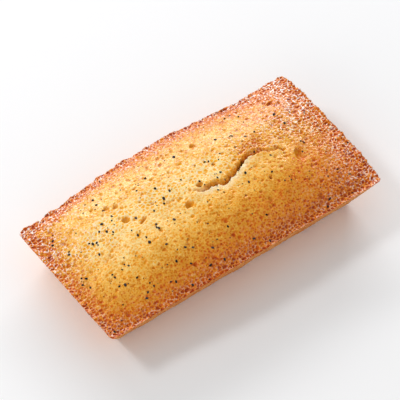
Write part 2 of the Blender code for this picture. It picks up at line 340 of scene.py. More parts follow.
def browned(p, q):
    """How brown the crust is, from 0 to about 1."""
    near = band(WIDTH / 2 * (1 + q), NEAR_BAND) * 0.85
    far = band(WIDTH / 2 * (1 - q), FAR_BAND) * between(0.9, 0.8, p)
    left = band(LENGTH / 2 * (1 + p), LEFT_BAND) * 0.68
    right = band(LENGTH / 2 * (1 - p), RIGHT_BAND) * 0.7
    slope = between(0.06, 0.48, p) * smooth_step(0.15, -0.6, q)
    slope = slope + between(0.14, 0.34, p) * smooth_step(0.2, 0.6, q)
    patch = 0.4 * np.exp(-(((p - 0.48) / 0.15) ** 2) - ((q - 0.19) / 0.14) ** 2)
    kept = (1 - near) * (1 - far) * (1 - left) * (1 - right) * (1 - slope) * (1 - patch)
    # painted shade at the foot of the split, added to the browning
    bank = split_bank(*plan_point(p, q, rim_height(p, q)))
    return 1 - kept * (1 - SPLIT_FOOT_SHADE * bank)


def split_bank(x, y):
    """1 at the foot of the split's far bank, and 0 beyond it."""
    beyond, deep, bank = split_place(x, y)
    share = np.clip(1 - beyond / (FOOT_WIDTH * bank), 0, 1) * (beyond > -0.3 * MM)
    return share * np.clip(deep / FULL_DEPTH, 0, 1)


def split_hole_shade(x, y):
    """Painted shade in the split: 1 in its deep hole, and a little along its foot."""
    foot = split_bank(x, y)
    deep = split_place(x, y)[1]
    hole = smooth_step(0.35, 0.75, foot) * smooth_step(2.5 * MM, 2.9 * MM, deep)
    return np.maximum(hole, 0.2 * smooth_step(0.3, 1.0, foot))


def torn(x, y):
    """1 on the pale torn crumb of the split's near lip and at its left end, 0 on whole crust."""
    beyond, deep, _ = split_place(x, y)
    lip = smooth_step(-2.6 * MM, -0.8 * MM, beyond) * smooth_step(0.0, -0.3 * MM, beyond)
    lip = lip * smooth_step(20.0 * MM, 15.0 * MM, x)
    patch = 0.7 * np.exp(-(((x / MM - 0.6) / 1.4) ** 2) - ((y / MM + 0.8) / 0.9) ** 2)
    return np.maximum(lip * np.clip(deep / FULL_DEPTH, 0, 1), patch)


def sunk(p, q, x, y):
    """1 deep in a burst bubble or at the split's foot, 0 on the open crust."""
    free = smooth_step(0, FREE_CRUST, rim_distance(p, q))
    bubble = np.clip(bowls(x, y, free) / (0.4 * MM), 0, 1)
    return np.maximum(bubble, split_bank(x, y))


def coarse(p, q):
    """How coarse the skin's foam is: 1 along the middle and at the rim, less on the long slopes."""
    near_slope = smooth_step(0.3, -0.3, q) * smooth_step(1.0, 0.75, np.abs(p + 0.05))
    far_slope = smooth_step(0.2, 0.5, q) * smooth_step(1.0, 0.75, np.abs(p))
    inside = rim_distance(p, q)
    near_slope = NEAR_SMOOTHING * near_slope * smooth_step(0.5 * MM, 5.5 * MM, inside)
    return 1 - near_slope - FAR_SMOOTHING * far_slope * smooth_step(1.0 * MM, 7.0 * MM, inside)


def crust_figures(p, q, x, y):
    """All that the materials read at the crust's points."""
    return {
        "p": p,
        "q": q,
        "browning": browned(p, q),
        "torn": torn(x, y),
        "sunk": sunk(p, q, x, y),
        "split_hole_shade": split_hole_shade(x, y),
        "coarse": coarse(p, q),
        "open": smooth_step(0, 1 * MM, rim_distance(p, q)),
    }


# %% [markdown]
# ## The cake's mesh
#
# The crust starts as a fine grid, because every detail of it is a height over a plan. Its outer edge
# is then drawn down the mould's wall ring by ring, and round the bottom edge, and one face closes the
# base. A grid of just under a quarter of a millimetre gives about one point for each pixel of the
# picture. A last attribute, moulded, is 1 on the walls and the base.

# %% Build the fine mesh
GRID_STEP = 0.225 * MM
WALL_RINGS = 18
BASE_EDGE_RINGS = 4
WALL_WAVE = 0.15 * MM


def wall_heights():
    """Rings of points down a wall: a share of the rim's height, then an angle round the edge."""
    for ring in range(1, WALL_RINGS + 1):
        yield 1 - ring / WALL_RINGS, 0.0
    for ring in range(1, BASE_EDGE_RINGS + 1):
        yield 0.0, (math.pi / 2 - DRAFT) * ring / BASE_EDGE_RINGS


def wall_point(p, q, share, angle):
    """A point of the wall below the rim's point p, q."""
    edge_top = BASE_RADIUS * (1 - math.sin(DRAFT))
    z = BASE_RADIUS * (1 - math.sin(DRAFT + angle)) + share * (rim_height(p, q) - edge_top)
    inset = BASE_RADIUS * (math.cos(DRAFT) - math.cos(DRAFT + angle))
    inset = inset + np.minimum(z - edge_top, 0) * LEAN
    inset = inset + WALL_WAVE * waves(p * LENGTH / 2, q * WIDTH / 2, 8 * MM, 12) * (1 - share)
    x, y = plan_point(p, q, z)
    half_length, half_width = half_sizes(z)
    return x * (1 - inset / half_length), y * (1 - inset / half_width), z


def cake_mesh():
    """The crust's grid, the walls and the base, with the attributes that the material reads."""
    shape = bmesh.new()
    bmesh.ops.create_grid(
        shape,
        x_segments=round(LENGTH / GRID_STEP),
        y_segments=round(WIDTH / GRID_STEP),
        size=1,
    )
    plan = np.array([vert.co[:2] for vert in shape.verts])
    x, y, z = crust_height(*plan.T)
    figures = crust_figures(*plan.T, x, y)
    layers = {name: shape.verts.layers.float.new(name) for name in (*figures, "moulded")}
    for number, vert in enumerate(shape.verts):
        vert.co = x[number], y[number], z[number]
        for name, values in figures.items():
            vert[layers[name]] = values[number]
    ring = [edge for edge in shape.edges if edge.is_boundary]
    for share, angle in wall_heights():
        made = bmesh.ops.extrude_edge_only(shape, edges=ring)["geom"]
        ring = [item for item in made if isinstance(item, bmesh.types.BMEdge)]
        fresh = [item for item in made if isinstance(item, bmesh.types.BMVert)]
        spots = np.array([(vert[layers["p"]], vert[layers["q"]]) for vert in fresh])
        places = np.array(wall_point(*spots.T, share, angle)).T
        for vert, place in zip(fresh, places):
            vert.co = place
            vert[layers["moulded"]] = 1.0
    bmesh.ops.contextual_create(shape, geom=ring)
    bmesh.ops.recalc_face_normals(shape, faces=shape.faces)
    bmesh.ops.translate(shape, verts=shape.verts, vec=(*MOULD_MIDDLE, 0))
    mesh = bpy.data.meshes.new("financier_cake")
    shape.to_mesh(mesh)
    shape.free()
    return mesh


def new_object(name, data):
    """An object in the scene, at the origin."""
    thing = bpy.data.objects.new(name, data)
    bpy.context.scene.collection.objects.link(thing)
    return thing


cake = new_object("financier_cake", cake_mesh())
print("cake mesh:", len(cake.data.vertices), "points")

# %% [markdown]
# ## A few helpers
#
# Colours are given as the hex values of a screen, and Blender mixes light in linear values,
# so one function turns the first into the second. Another adds a node with its settings and links.
# The rest do sums, in both kinds of tree, because a sum written out node by node is hard to read.

# %% Colours and nodes


def linear(hex_colour):
    """The linear colour, with alpha, of a hex value as seen on a screen."""
    channels = [int(hex_colour[i : i + 2], 16) / 255 for i in (1, 3, 5)]
    return (*(c / 12.92 if c <= 0.04045 else ((c + 0.055) / 1.055) ** 2.4 for c in channels), 1.0)


def set_inputs(tree, node, inputs):
    """Gives a node's sockets their values, and links any that are other nodes' outputs."""
    for socket, value in inputs.items():
        if isinstance(value, bpy.types.NodeSocket):
            tree.links.new(value, node.inputs[socket])
        else:
            node.inputs[socket].default_value = value


def add_node(tree, kind, inputs=None, **settings):
    """Adds a node with its settings and inputs."""
    node = tree.nodes.new(kind)
    for name, value in settings.items():
        setattr(node, name, value)
    set_inputs(tree, node, inputs or {})
    return node


# %% Sums


def reckoned(tree, operation, first, second=0.5, **settings):
    """The result of one sum on one or two values."""
    terms = {0: first, 1: second}
    return add_node(tree, "ShaderNodeMath", terms, operation=operation, **settings).outputs[0]


def product(tree, first, *others):
    """Values multiplied together."""
    for other in others:
        first = reckoned(tree, "MULTIPLY", first, other)
    return first


def added(tree, first, *others):
    """Values added up."""
    for other in others:
        first = reckoned(tree, "ADD", first, other)
    return first


def ranged(tree, value, low, high, to_low, to_high):
    """value moved from one range to another, and held at its ends."""
    ends = {0: value, 1: low, 2: high, 3: to_low, 4: to_high}
    return add_node(tree, "ShaderNodeMapRange", ends).outputs[0]


# %% [markdown]
# ## The baked crust
#
# Baked almond batter is a foam of egg white, sugar, butter and flour, set and browned. The eye gets a
# pale gold middle, amber slopes and a red-brown rim, with a deeper colour in every pit and a paler
# one on the ridges between them: partly the crust's own tone, partly painted shade in the pits and
# painted highlight on the ridges. One row of colours can't give both, so there is a row for the pits
# and one for the ridges, each from pale to dark, and a point's shade picks its colour from the two.

# %% Colours of the crust
# pit colours: the crust's own tone, deepened as painted shade in the pits
PIT_TONE_AND_SHADE = (
    (0.00, "#FFB024"),
    (0.20, "#F09A08"),
    (0.45, "#CC6C00"),
    (0.65, "#D65C00"),
    (1.00, "#A83800"),
)
# ridge colours: the crust's own tone, paled as painted highlight on the ridges
RIDGE_TONE_AND_SHEEN = (
    (0.00, "#FFE29C"),
    (0.20, "#F5BF5A"),
    (0.45, "#E69E2A"),
    (0.65, "#E8922C"),
    (1.00, "#E88C30"),
)
TORN_COLOURS = (
    (0.0, "#F2C468"),
    (0.5, "#FFE2A8"),
    (1.0, "#FFF2DC"),
)
# colours of the painted glints on the ridges' crests
WHITE_PAINTED_GLINT = "#FFF6F0"
AMBER_PAINTED_GLINT = "#FFD488"
# painted shade on the floors of pale bubbles and at the split's foot
BOWL_FLOOR_SHADE = "#DE9414"
# painted shade in the split's deep hole and along its foot
SPLIT_SHADE_COLOUR = "#3C0E02"

# %% Patterns for the materials


def new_material(name):
    """A new material and its tree."""
    material = bpy.data.materials.new(name)
    material.use_nodes = True
    return material, material.node_tree


def attribute(tree, name, kind="Fac"):
    """A figure that the mesh carries, as a material reads it."""
    return add_node(tree, "ShaderNodeAttribute", attribute_name=name).outputs[kind]


def mixed(tree, share, first, second):
    """The colour that lies this share of the way from first to second."""
    node = add_node(tree, "ShaderNodeMix", {0: share, 6: first, 7: second}, data_type="RGBA")
    return node.outputs[2]


def coloured(tree, shade, stops):
    """The colour at shade, 0 to 1, on a row of stops."""
    ramp = add_node(tree, "ShaderNodeValToRGB", {0: shade})
    while len(ramp.color_ramp.elements) < len(stops):
        ramp.color_ramp.elements.new(0.5)
    for element, (position, colour) in zip(ramp.color_ramp.elements, stops):
        element.position, element.color = position, linear(colour)
    return ramp.outputs[0]


def mottle(tree, place, size, amount):
    """Soft random patches of this size, from -amount to amount."""
    noise = add_node(
        tree,
        "ShaderNodeTexNoise",
        {"Vector": place, "Scale": 1 / size, "Detail": 3.0, "Roughness": 0.6},
    )
    return ranged(tree, noise.outputs["Fac"], 0.3, 0.7, -amount, amount)


def bubbled_bump(tree, place, size, height):
    """Relief too fine for the mesh: tiny bubbles with some grain."""
    cells = add_node(tree, "ShaderNodeTexVoronoi", {"Vector": place, "Scale": 1 / size})
    grain = add_node(
        tree,
        "ShaderNodeTexNoise",
        {"Vector": place, "Scale": 1.6 / size, "Detail": 2.0, "Roughness": 0.6},
    )
    skin = added(tree, cells.outputs["Distance"], product(tree, grain.outputs["Fac"], 0.8))
    bump = add_node(tree, "ShaderNodeBump", {"Height": skin, "Strength": 1.0, "Distance": height})
    return bump.outputs[0]


# %% [markdown]
# The pits and ridges of the colour have to lie on those of the mesh. Both come from one Voronoi
# pattern, and the bubble tree further down keeps each point's place in it, foam_place. Patches of
# three sizes and a draw for each pit make the shade uneven, as browning is, and a pit's depth
# darkens it further as painted shade.

# %% Shade of the skin
PIT_SPACING = 0.85 * MM
EDGE_WAVER = 0.5 * MM
SHADE_PATCHES = (
    (3.5 * MM, 0.12),
    (0.6 * MM, 0.12),
    (0.35 * MM, 0.16),
)
DARK_SPOT = 0.15
PIT_DRAW = 0.08
# painted shade: how much darker the deepest pits are drawn
PAINTED_PIT_SHADE = 0.22


def foam_pattern(tree, place):
    """A point's distance to its pit's middle and to the nearest ridge, and the pit's own draw."""
    pattern = {"Vector": attribute(tree, "foam_place", "Vector"), "Scale": 1 / PIT_SPACING}
    cells = add_node(tree, "ShaderNodeTexVoronoi", pattern).outputs
    edges = add_node(tree, "ShaderNodeTexVoronoi", pattern, feature="DISTANCE_TO_EDGE")
    edge = added(tree, edges.outputs["Distance"], mottle(tree, place, EDGE_WAVER, 0.05))
    draw = add_node(tree, "ShaderNodeSeparateXYZ", {0: cells["Color"]}).outputs[2]
    return cells["Distance"], edge, draw


def dark_spot(tree, middle, draw):
    """1 in the middle of the pits that baked darkest, those with a high draw."""
    near_middle = ranged(tree, middle, 0.2, 0.45, 1.0, 0.0)
    return product(tree, near_middle, ranged(tree, draw, 0.5, 0.8, 0.0, 1.0))


def skin_shade(tree, place, spot, draw):
    """How dark the skin is, from 0 to 1: its browning, made uneven, with painted shade in deep pits.
    """
    browning = attribute(tree, "browning")
    uneven = added(
        tree,
        product(tree, spot, DARK_SPOT),
        *(mottle(tree, place, size, amount) for size, amount in SHADE_PATCHES),
        ranged(tree, draw, 0.0, 1.0, -PIT_DRAW, PIT_DRAW),
        # painted shade: deeper pits drawn darker
        ranged(tree, attribute(tree, "hollow"), 0.3, 1.2, 0.0, PAINTED_PIT_SHADE),
    )
    uneven = product(tree, uneven, ranged(tree, browning, 0.0, 0.8, 0.4, 1.4))
    return reckoned(tree, "ADD", browning, uneven, use_clamp=True)


# %% [markdown]
# Where the skin is coarse its ridges follow the foam, and on the two long slopes, which rose
# smoothly, they follow a finer net. On the ridges' crests, highlights are painted into the colour
# as small broken glint flecks, white on the far side and at the rim and amber on the near slope.
# These painted glints are strongest on the far side and at both ends, and more so where the skin is
# coarse.

# %% Ridges and their crests
FINE_SPACING = 0.6 * MM
# size of the gaps that break the painted glints into flecks
PAINTED_GLINT_BREAK = 0.6 * MM


def ridge_and_glint_shares(tree, place, edge, closed):
    """How far each point is on a ridge, and the mask of painted glints on the ridges' crests."""
    thin = ranged(tree, attribute(tree, "browning"), 0.0, 0.4, -0.08, 0.0)
    net = ranged(tree, added(tree, edge, thin), 0.02, 0.13, 1.0, 0.0)
    painted_glint_net = ranged(tree, edge, 0.07, 0.18, 1.0, 0.0)
    fine = add_node(tree, "ShaderNodeTexVoronoi", {"Vector": place, "Scale": 1 / FINE_SPACING})
    fine_net = ranged(tree, fine.outputs["Distance"], 0.28, 0.52, 0.0, 1.0)
    coarse_here = attribute(tree, "coarse")
    ridge, painted_glint = (
        add_node(tree, "ShaderNodeMix", {0: coarse_here, 2: fine_net, 3: wide_net}).outputs[0]
        for wide_net in (net, painted_glint_net)
    )
    outside_bowls = ranged(tree, attribute(tree, "bowl"), 0.1, 0.5, 1.0, 0.0)
    broken = ranged(tree, mottle(tree, place, PAINTED_GLINT_BREAK, 1.0), 0.1, 0.4, 0.0, 1.0)
    return product(tree, ridge, outside_bowls, closed), product(tree, painted_glint, broken, closed)


def painted_glint_strength(tree):
    """How strong the painted glints are in each part of the crust: strongest on the far side and at
    both ends.
    """
    to_left = ranged(tree, attribute(tree, "p"), -0.95, -0.5, 0.6, 0.4)
    to_right = ranged(tree, attribute(tree, "p"), 0.5, 0.95, 0.0, 0.5)
    to_far = ranged(tree, attribute(tree, "q"), -0.4, 0.5, 0.7, 1.65)
    rough = ranged(tree, attribute(tree, "coarse"), 0.2, 0.8, 0.5, 1.0)
    return product(tree, added(tree, to_left, to_right), to_far, rough)


def painted_glint_colour(tree):
    """The colour of the painted glints: white on the far side and at the rim, and amber on the near
    slope.
    """
    far_side = ranged(tree, attribute(tree, "q"), -0.4, 0.4, 0.0, 1.0)
    at_rim = ranged(tree, attribute(tree, "browning"), 0.5, 0.8, 0.0, 1.0)
    white = reckoned(tree, "MAXIMUM", far_side, at_rim)
    return mixed(tree, white, linear(AMBER_PAINTED_GLINT), linear(WHITE_PAINTED_GLINT))


# %% [markdown]
# The larger burst bubbles and the foot of the split are smooth inside, so ridges and painted glints
# fade out there, and where the crust is pale their floors are painted a deeper gold as shade. The
# split's deep hole and its foot are painted dark as shade. The torn crumb is pale and grainy. The
# gloss is butter over browned sugar: low and fairly sharp, and warm in tint, because the light has
# passed through a brown film.

# %% Crust material
CRUMB_GRAIN = 0.35 * MM


def crust_material():
    """Baked almond foam, browned and buttery."""
    material, tree = new_material("baked_almond_crust")
    place = add_node(tree, "ShaderNodeTexCoord").outputs["Object"]
    middle, edge, draw = foam_pattern(tree, place)
    spot = dark_spot(tree, middle, draw)
    sunken = attribute(tree, "sunk")
    rough_floor = ranged(tree, sunken, 0.0, 1.0, 1.0, 0.15)
    closed = product(tree, rough_floor, ranged(tree, spot, 0.0, 1.0, 1.0, 0.25))
    shade = skin_shade(tree, place, spot, draw)
    ridge, painted_glint = ridge_and_glint_shares(tree, place, edge, closed)
    # pit colours carry painted shade and ridge colours painted highlight, over the crust's own tone
    in_pits, on_ridges = coloured(tree, shade, PIT_TONE_AND_SHADE), coloured(tree, shade, RIDGE_TONE_AND_SHEEN)
    colour = mixed(tree, ridge, in_pits, on_ridges)
    # painted shade: floors of bubbles and the split's foot drawn a deeper gold where the crust is
    # pale
    pale_here = ranged(tree, attribute(tree, "browning"), 0.2, 0.4, 1.0, 0.1)
    painted_floor_shade = product(tree, ranged(tree, sunken, 0.3, 1.0, 0.0, 0.65), pale_here)
    colour = mixed(tree, painted_floor_shade, colour, linear(BOWL_FLOOR_SHADE))
    # painted highlights: glint flecks on the ridges' crests
    painted_glint = product(tree, painted_glint, painted_glint_strength(tree))
    colour = mixed(tree, painted_glint, colour, painted_glint_colour(tree))
    grain = added(tree, mottle(tree, place, CRUMB_GRAIN, 0.5), 0.55)
    colour = mixed(tree, attribute(tree, "torn"), colour, coloured(tree, grain, TORN_COLOURS))
    # painted shade: the split's deep hole and its foot drawn dark
    colour = mixed(tree, attribute(tree, "split_hole_shade"), colour, linear(SPLIT_SHADE_COLOUR))
    finish = {
        "Base Color": colour,
        "Normal": bubbled_bump(tree, place, 0.9 * MM, 0.07 * MM),
        "Roughness": 0.28,
        "IOR": 1.38,
        "Specular Tint": (1.0, 0.8, 0.55, 1.0),
        "Subsurface Weight": 0.1,
        "Subsurface Radius": (1.0, 0.45, 0.15),
        "Subsurface Scale": 0.5 * MM,
    }
    set_inputs(tree, tree.nodes["Principled BSDF"], finish)
    return material


baked_crust = crust_material()
print("material:", baked_crust.name)

# %% [markdown]
# ## The moulded sides
#
# The sides and base baked against buttered metal. They are one golden brown, finely mottled, with
# small closed bubbles painted darker as shade where they go deep, and duller than the top, because
# the butter soaked in.

# %% Side material
SIDE_COLOURS = (
    (0.00, "#ECAA5E"),
    (0.50, "#CE7830"),
    (1.00, "#94460F"),
)
SIDE_PATCHES = (
    (4.0 * MM, 0.2),
    (0.9 * MM, 0.35),
)
SIDE_SHADE = 0.35


def side_material():
    """The same foam set against metal: closed, even and dull."""
    material, tree = new_material("moulded_cake_side")
    place = add_node(tree, "ShaderNodeTexCoord").outputs["Object"]
    patches = (mottle(tree, place, size, amount) for size, amount in SIDE_PATCHES)
    # painted shade: the side drawn darker where its bubbles go deep
    deep = ranged(tree, attribute(tree, "hollow"), 0.0, 1.0, -0.1, 0.3)
    shade = reckoned(tree, "ADD", added(tree, SIDE_SHADE, *patches), deep, use_clamp=True)
    finish = {
        "Base Color": coloured(tree, shade, SIDE_COLOURS),
        "Normal": bubbled_bump(tree, place, 0.7 * MM, 0.12 * MM),
        "Roughness": 0.7,
        "Specular IOR Level": 0.2,
        "Subsurface Weight": 0.1,
        "Subsurface Radius": (1.0, 0.45, 0.15),
        "Subsurface Scale": 1.2 * MM,
    }
    set_inputs(tree, tree.nodes["Principled BSDF"], finish)
    return material


moulded_side = side_material()
print("material:", moulded_side.name)

# %% [markdown]
# ## Bubbles in the skin
#
# The whole skin is a set foam: pits about a millimetre wide, side by side, with thin ridges between
# them. A Voronoi pattern cuts space into cells, and the distance to a cell's edge gives each pit a
# rounded floor and a sharp ridge. Some cells of a wider pattern also burst into a deeper bowl.
# Geometry Nodes push the real mesh in by these depths, so the bubbles have true shadows, and they
# keep how deep each point went, for the material.

# %% Geometry trees


def new_tree(name, sockets):
    """A Geometry Nodes tree with named inputs. sockets maps each name to its kind."""
    tree = bpy.data.node_groups.new(name, "GeometryNodeTree")
    for socket, kind in sockets.items():
        tree.interface.new_socket(name=socket, in_out="INPUT", socket_type="NodeSocket" + kind)
    tree.interface.new_socket(name="Geometry", in_out="OUTPUT", socket_type="NodeSocketGeometry")
    return tree, add_node(tree, "NodeGroupInput").outputs


def shaped_by(tree, thing, values):
    """Runs the tree on the object, with these inputs, and keeps the result as its plain mesh."""
    modifier = thing.modifiers.new(tree.name, "NODES")
    modifier.node_group = tree
    for item in tree.interface.items_tree:
        if item.in_out == "INPUT" and item.name in values:
            modifier[item.identifier] = values[item.name]
    graph = bpy.context.evaluated_depsgraph_get()
    mesh = bpy.data.meshes.new_from_object(
        thing.evaluated_get(graph), preserve_all_data_layers=True, depsgraph=graph
    )
    thing.modifiers.clear()
    thing.data = mesh


def passed_through(tree, geometry, steps):
    """The geometry after a row of steps, each a kind of node with its other inputs."""
    for kind, inputs in steps:
        geometry = add_node(tree, kind, {"Geometry": geometry, **inputs}).outputs[0]
    return geometry


def stored(tree, name):
    """A figure that the mesh carries, as a geometry tree reads it."""
    node = add_node(tree, "GeometryNodeInputNamedAttribute", {"Name": name}, data_type="FLOAT")
    return node.outputs["Attribute"]


def vector_sum(tree, operation, first, second):
    """The result of one sum on a vector, with another vector or with a scale."""
    socket = "Scale" if operation == "SCALE" else 1
    terms = {0: first, socket: second}
    return add_node(tree, "ShaderNodeVectorMath", terms, operation=operation).outputs[0]


def soft_push(tree, place, size, amount):
    """A short push to any side, which changes softly over this size."""
    wobble = add_node(tree, "ShaderNodeTexNoise", {"Vector": place, "Scale": 1 / size})
    push = vector_sum(tree, "SUBTRACT", wobble.outputs["Color"], (0.5, 0.5, 0.5))
    return vector_sum(tree, "SCALE", push, amount)


# %% Pits and bowls
SMALL_PIT_SPACING = 0.55
SMALL_PIT_SHARE = 0.25
LARGEST_BOWL = 0.48
WARP_SIZE = 1.0 * MM
WARP_PUSH = 0.5 * MM


def foam_field(tree, place, spacing, shallowest):
    """Pits side by side with thin ridges between them: how deep they are, up to 1."""
    pattern = {"Vector": place, "Scale": reckoned(tree, "DIVIDE", 1.0, spacing)}
    cells = add_node(tree, "ShaderNodeTexVoronoi", pattern)
    edges = add_node(tree, "ShaderNodeTexVoronoi", pattern, feature="DISTANCE_TO_EDGE")
    drawn = add_node(tree, "ShaderNodeSeparateXYZ", {0: cells.outputs["Color"]}).outputs[0]
    inside = ranged(tree, edges.outputs["Distance"], 0.03, 0.42, 0.0, 1.0)
    curved = product(tree, inside, reckoned(tree, "SUBTRACT", 2.0, inside))
    return product(tree, curved, ranged(tree, drawn, 0.0, 1.0, shallowest, 1.0))


def mixed_foam(tree, place, spacing):
    """The main pits, with smaller ones among them."""
    small_pits = foam_field(tree, place, product(tree, spacing, SMALL_PIT_SPACING), 0.2)
    main_pits = foam_field(tree, place, spacing, 0.45)
    small_part = product(tree, small_pits, SMALL_PIT_SHARE)
    return added(tree, product(tree, main_pits, 1 - SMALL_PIT_SHARE), small_part)


def bowl_field(tree, place, spacing):
    """Burst bubbles: a bowl in each cell of the pattern, most of them too small to show."""
    scale = reckoned(tree, "DIVIDE", 1.0, spacing)
    cells = add_node(tree, "ShaderNodeTexVoronoi", {"Vector": place, "Scale": scale})
    drawn = add_node(tree, "ShaderNodeSeparateXYZ", {0: cells.outputs["Color"]}).outputs[1]
    radius = ranged(tree, reckoned(tree, "POWER", drawn, 1.6), 0.0, 1.0, 0.02, LARGEST_BOWL)
    out = reckoned(tree, "DIVIDE", cells.outputs["Distance"], radius)
    left = reckoned(tree, "SUBTRACT", 1.0, product(tree, out, out), use_clamp=True)
    bowl = product(tree, reckoned(tree, "SQRT", left), radius)
    return reckoned(tree, "DIVIDE", bowl, LARGEST_BOWL)


def warped_place(tree, place, seed):
    """The place, moved by the seed and by a soft push, and a little longer along the cake."""
    moved = vector_sum(tree, "ADD", place, seed)
    long_cells = vector_sum(tree, "MULTIPLY", moved, (0.8, 1.0, 1.0))
    return vector_sum(tree, "ADD", long_cells, soft_push(tree, moved, WARP_SIZE, WARP_PUSH))


# %% Bubble tree
CRUMB_SIZE = 0.9 * MM
SIDE_DEPTH = 0.5
BASE_FADE = 1.0 * MM


def skin_depth(tree, given, place, warped, foam, burst):
    """How far the skin goes in: its pits and bowls, shallower on the sides, and the torn crumb."""
    pale, browned_depth = given["Pit depth, pale"], given["Pit depth, browned"]
    pit_depth = ranged(tree, stored(tree, "browning"), 0.1, 0.6, pale, browned_depth)
    foam_depth = product(tree, foam, product(tree, pit_depth, stored(tree, "coarse")))
    depth = added(tree, foam_depth, product(tree, burst, given["Bowl depth"]))
    depth = product(tree, depth, ranged(tree, stored(tree, "moulded"), 0.0, 1.0, 1.0, SIDE_DEPTH))
    crumb = add_node(
        tree,
        "ShaderNodeTexNoise",
        {"Vector": warped, "Scale": 1 / CRUMB_SIZE, "Detail": 3.0, "Roughness": 0.7},
    )
    crumbs = product(tree, crumb.outputs["Fac"], given["Crumb depth"], stored(tree, "torn"))
    height = add_node(tree, "ShaderNodeSeparateXYZ", {0: place}).outputs[2]
    above_base = ranged(tree, height, 0.0, BASE_FADE, 0.0, 1.0)
    return product(tree, added(tree, depth, crumbs), above_base)


def bubble_tree():
    """Pushes the skin in, keeps what the material reads, and gives each face its material."""
    tree, given = new_tree(
        "Bubbled skin",
        {
            "Geometry": "Geometry",
            "Pit spacing": "Float",
            "Pit depth, pale": "Float",
            "Pit depth, browned": "Float",
            "Bowl spacing": "Float",
            "Bowl depth": "Float",
            "Crumb depth": "Float",
            "Seed": "Vector",
            "Crust material": "Material",
            "Side material": "Material",
        },
    )
    place = add_node(tree, "GeometryNodeInputPosition").outputs[0]
    warped = warped_place(tree, place, given["Seed"])
    foam = mixed_foam(tree, warped, given["Pit spacing"])
    burst = bowl_field(tree, warped, given["Bowl spacing"])
    inward = product(tree, skin_depth(tree, given, place, warped, foam, burst), -1.0)
    normal = add_node(tree, "GeometryNodeInputNormal").outputs[0]
    on_wall = reckoned(tree, "GREATER_THAN", stored(tree, "moulded"), 0.3)
    skin = given["Geometry"]
    for name, value, kind in (
        ("hollow", reckoned(tree, "MAXIMUM", foam, burst), "FLOAT"),
        ("bowl", burst, "FLOAT"),
        ("foam_place", warped, "FLOAT_VECTOR"),
    ):
        skin = add_node(
            tree,
            "GeometryNodeStoreNamedAttribute",
            {"Geometry": skin, "Name": name, "Value": value},
            data_type=kind,
            domain="POINT",
        ).outputs[0]
    steps = (
        ("GeometryNodeSetPosition", {"Offset": vector_sum(tree, "SCALE", normal, inward)}),
        ("GeometryNodeSetShadeSmooth", {}),
        ("GeometryNodeRealizeInstances", {}),
        ("GeometryNodeSetMaterial", {"Material": given["Crust material"]}),
        ("GeometryNodeSetMaterial", {"Selection": on_wall, "Material": given["Side material"]}),
    )
    add_node(tree, "NodeGroupOutput", {"Geometry": passed_through(tree, skin, steps)})
    return tree


# %% Make the bubbles
shaped_by(
    bubble_tree(),
    cake,
    {
        "Pit spacing": PIT_SPACING,
        "Pit depth, pale": 0.145 * MM,
        "Pit depth, browned": 0.42 * MM,
        "Bowl spacing": 1.15 * MM,
        "Bowl depth": 0.26 * MM,
        "Crumb depth": 0.35 * MM,
        "Seed": (0.011, 0.023, 0.037),
        "Crust material": baked_crust,
        "Side material": moulded_side,
    },
)
cake.data.calc_loop_triangles()
print("bubbled cake:", len(cake.data.loop_triangles), "triangles")

# %% [markdown]
# ## Shreds of tea leaf
#
# Ground black tea in the batter shows as dark flat shards, from a dust of a third of a millimetre to
# shreds of a millimetre or so. The largest are put where they show. The rest are scattered over the
# crust by a seeded draw, thinner towards the rim. One tree does both: it drops each placed point onto
# the crust with a ray, adds the drawn points, and lays a shard on every one.

# %% Places of the larger shreds
# Each shred, in millimetres: along, across and its length.
MAIN_FLECKS = (
    (-30.0, -10.5, 1.3),
    (12.0, -5.0, 0.9),
    (-19.0, -5.5, 1.2),
    (-20.0, -2.0, 1.1),
    (-29.5, 4.0, 1.1),
    (1.5, 12.5, 1.2),
    (-8.5, 3.0, 1.1),
    (-12.5, 1.5, 0.8),
    (31.5, 6.0, 1.1),
    (-24.5, -15.0, 0.8),
    (-5.5, -18.5, 1.0),
    (-26.5, 5.5, 0.9),
    (7.5, -20.0, 0.9),
    (-15.0, -3.0, 0.8),
    (-6.0, 4.0, 0.9),
    (-39.0, -18.5, 0.9),
    (-30.0, 0.5, 0.9),
    (-24.0, 3.0, 0.8),
    (-27.0, -6.0, 0.8),
    (26.0, -19.5, 0.8),
)
DROP_HEIGHT = 30 * MM
RAY_LENGTH = 50 * MM


def placed_points():
    """A mesh of loose points above the crust, one for each larger shred, with its length."""
    mesh = bpy.data.meshes.new("placed_shreds")
    mesh.vertices.add(len(MAIN_FLECKS))
    lengths = mesh.attributes.new("length", "FLOAT", "POINT")
    for number, (along, across, length) in enumerate(MAIN_FLECKS):
        x, y = along * MM + MOULD_MIDDLE[0], across * MM + MOULD_MIDDLE[1]
        mesh.vertices[number].co = (x, y, DROP_HEIGHT)
        lengths.data[number].value = length * MM
    return mesh


# %% Tea material
DARKEST_LEAF = "#080508"
PALEST_LEAF = "#4E4040"


def tea_material():
    """Black tea leaf, cut small and baked in: dull, from nearly black to a dark grey-brown."""
    material, tree = new_material("baked_tea_leaf")
    shade = attribute(tree, "shade")
    finish = {
        "Base Color": mixed(tree, shade, linear(DARKEST_LEAF), linear(PALEST_LEAF)),
        "Roughness": 0.6,
        "Specular IOR Level": 0.12,
    }
    set_inputs(tree, tree.nodes["Principled BSDF"], finish)
    return material


tea_leaf = tea_material()
print("material:", tea_leaf.name)

# %% Points for the shards
MOSTLY_SMALL = 2.5
BROWNED_DENSITY = 0.3


